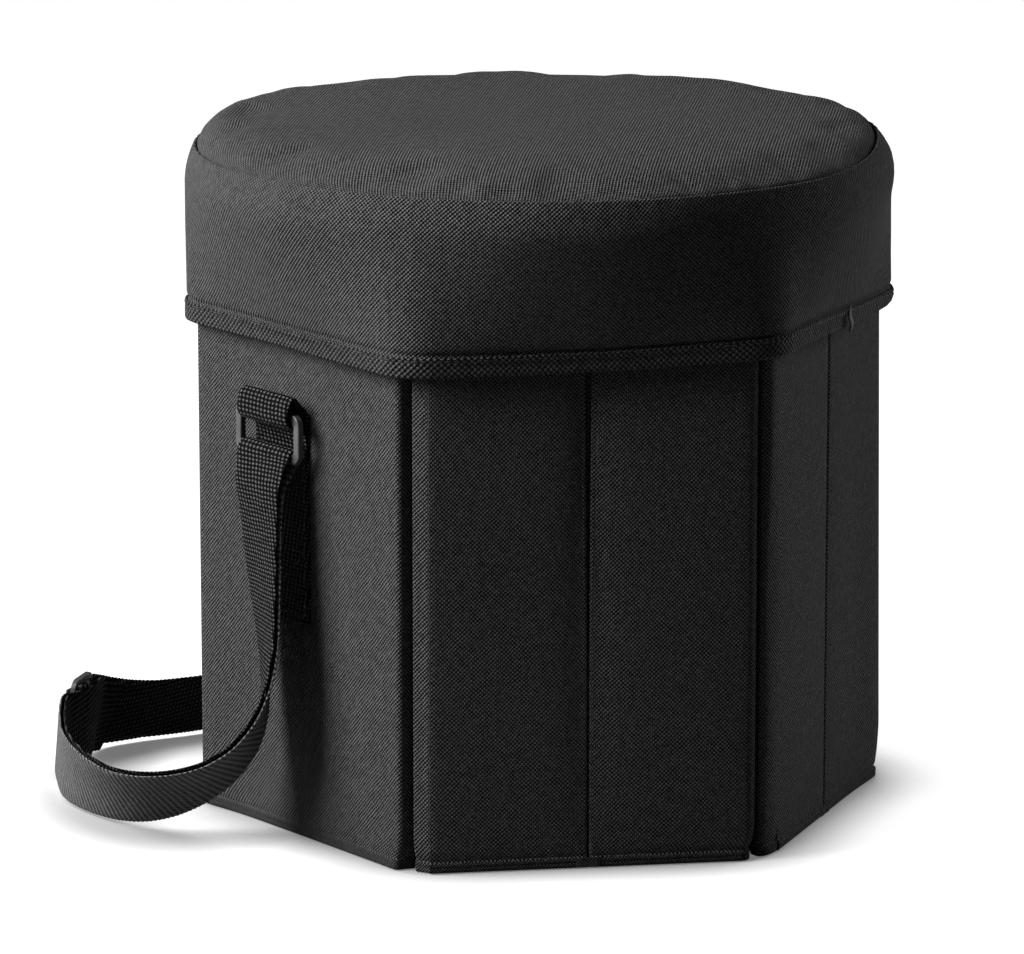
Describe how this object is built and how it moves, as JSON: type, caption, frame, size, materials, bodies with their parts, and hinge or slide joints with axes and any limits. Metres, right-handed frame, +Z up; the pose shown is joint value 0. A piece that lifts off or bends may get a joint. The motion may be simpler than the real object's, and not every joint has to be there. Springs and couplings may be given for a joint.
{
  "type": "folding cooler stool",
  "caption": "Folding cooler stool: hinged padded walls form a hexagonal insulated box under a lift-off cap lid with a round padded seat, with a webbing carry strap.",
  "frame": {"origin": "centre of the hexagonal body on the ground", "axes": "+Z up; the strap walls face -X and +X; the corner between the two front walls points to -Y"},
  "size_m": [0.3855, 0.3504, 0.3218],
  "materials": {
    "outer_fabric": "matte",
    "stiff_board": "matte",
    "foil_liner": "satin",
    "seat_foam": "matte",
    "binding": "matte",
    "webbing": "matte",
    "hard_plastic": "satin"
  },
  "bodies": {
    "left_wall": {"left_wall_cover": "outer_fabric", "left_wall_board": "stiff_board", "left_wall_liner": "foil_liner", "floor_fabric": "outer_fabric", "floor_pad": "foil_liner", "left_strap_tab": "webbing", "strap_outer_layer": "webbing", "strap_inner_layer": "webbing", "strap_back_run": "webbing"},
    "front_left_side": {"front_left_side_cover": "outer_fabric", "front_left_side_board": "stiff_board", "front_left_side_liner": "foil_liner"},
    "front_left_centre": {"front_left_centre_cover": "outer_fabric", "front_left_centre_board": "stiff_board", "front_left_centre_liner": "foil_liner"},
    "front_right_centre": {"front_right_centre_cover": "outer_fabric", "front_right_centre_board": "stiff_board", "front_right_centre_liner": "foil_liner"},
    "front_right_side": {"front_right_side_cover": "outer_fabric", "front_right_side_board": "stiff_board", "front_right_side_liner": "foil_liner"},
    "right_wall": {"right_wall_cover": "outer_fabric", "right_wall_board": "stiff_board", "right_wall_liner": "foil_liner", "right_strap_tab": "webbing", "strap_right_rise": "webbing"},
    "back_left_side": {"back_left_side_cover": "outer_fabric", "back_left_side_board": "stiff_board", "back_left_side_liner": "foil_liner"},
    "back_left_centre": {"back_left_centre_cover": "outer_fabric", "back_left_centre_board": "stiff_board", "back_left_centre_liner": "foil_liner"},
    "back_right_centre": {"back_right_centre_cover": "outer_fabric", "back_right_centre_board": "stiff_board", "back_right_centre_liner": "foil_liner"},
    "back_right_side": {"back_right_side_cover": "outer_fabric", "back_right_side_board": "stiff_board", "back_right_side_liner": "foil_liner"},
    "lid": {"lid_lining": "foil_liner", "seat_board": "stiff_board", "seat_foam": "seat_foam", "seat_cover": "outer_fabric", "lid_skirt": "outer_fabric", "lid_binding": "binding"},
    "left_ring": {"left_ring": "hard_plastic"},
    "right_ring": {"right_ring": "hard_plastic"},
    "strap_slider": {"strap_slider": "hard_plastic"}
  },
  "joints": [
    {"name": "wall_fold", "type": "hinge", "parent": "left_wall", "child": "front_left_side", "pos_m": [-0.1308, -0.07552, 0.149], "axis": [0, 0, -1], "range_deg": [-119, 0], "deforming": ["floor_fabric", "floor_pad", "strap_back_run", "lid_skirt", "lid_binding"]},
    {"name": "front_left_mid_fold", "type": "hinge", "parent": "front_left_side", "child": "front_left_centre", "pos_m": [-0.07115, -0.12323, 0.149], "axis": [0, 0, 1], "range_deg": [-178.5, 0]},
    {"name": "front_corner_fold", "type": "hinge", "parent": "front_left_centre", "child": "front_right_centre", "pos_m": [0, -0.15104, 0.149], "axis": [0, 0, -1], "range_deg": [-119, 0]},
    {"name": "front_right_mid_fold", "type": "hinge", "parent": "front_right_centre", "child": "front_right_side", "pos_m": [0.07115, -0.12323, 0.149], "axis": [0, 0, 1], "range_deg": [-178.5, 0]},
    {"name": "front_right_corner_fold", "type": "hinge", "parent": "front_right_side", "child": "right_wall", "pos_m": [0.1308, -0.07552, 0.149], "axis": [0, 0, -1], "range_deg": [-119, 0]},
    {"name": "back_left_corner_fold", "type": "hinge", "parent": "left_wall", "child": "back_left_side", "pos_m": [-0.1308, 0.07552, 0.149], "axis": [0, 0, 1], "range_deg": [-119, 0]},
    {"name": "back_left_mid_fold", "type": "hinge", "parent": "back_left_side", "child": "back_left_centre", "pos_m": [-0.07115, 0.12323, 0.149], "axis": [0, 0, -1], "range_deg": [-178.5, 0]},
    {"name": "back_corner_fold", "type": "hinge", "parent": "back_left_centre", "child": "back_right_centre", "pos_m": [0, 0.15104, 0.149], "axis": [0, 0, 1], "range_deg": [-119, 0]},
    {"name": "back_right_mid_fold", "type": "hinge", "parent": "back_right_centre", "child": "back_right_side", "pos_m": [0.07115, 0.12323, 0.149], "axis": [0, 0, -1], "range_deg": [-178.5, 0]},
    {"name": "lid_lift", "type": "slide", "parent": "left_wall", "child": "lid", "axis": [0, 0, 1], "range_m": [0, 0.3]},
    {"name": "left_ring_swing", "type": "hinge", "parent": "left_wall", "child": "left_ring", "pos_m": [-0.1506, 0.009, 0.1983], "axis": [0, 1, 0], "range_deg": [-4, 50], "deforming": ["strap_outer_layer", "strap_inner_layer"]},
    {"name": "right_ring_swing", "type": "hinge", "parent": "right_wall", "child": "right_ring", "pos_m": [0.1506, -0.009, 0.1983], "axis": [0, -1, 0], "range_deg": [-4, 50], "deforming": ["strap_right_rise"]},
    {"name": "slider_shift", "type": "slide", "parent": "left_wall", "child": "strap_slider", "axis": [0.9135, 0.4067, 0], "range_m": [0, 0.03]}
  ],
  "couplings": [
    {"joint": "front_left_mid_fold", "follows": "wall_fold", "ratio": 1.5},
    {"joint": "front_corner_fold", "follows": "wall_fold", "ratio": 1},
    {"joint": "front_right_mid_fold", "follows": "wall_fold", "ratio": 1.5},
    {"joint": "front_right_corner_fold", "follows": "wall_fold", "ratio": 1},
    {"joint": "back_left_corner_fold", "follows": "wall_fold", "ratio": 1},
    {"joint": "back_left_mid_fold", "follows": "wall_fold", "ratio": 1.5},
    {"joint": "back_corner_fold", "follows": "wall_fold", "ratio": 1},
    {"joint": "back_right_mid_fold", "follows": "wall_fold", "ratio": 1.5}
  ]
}
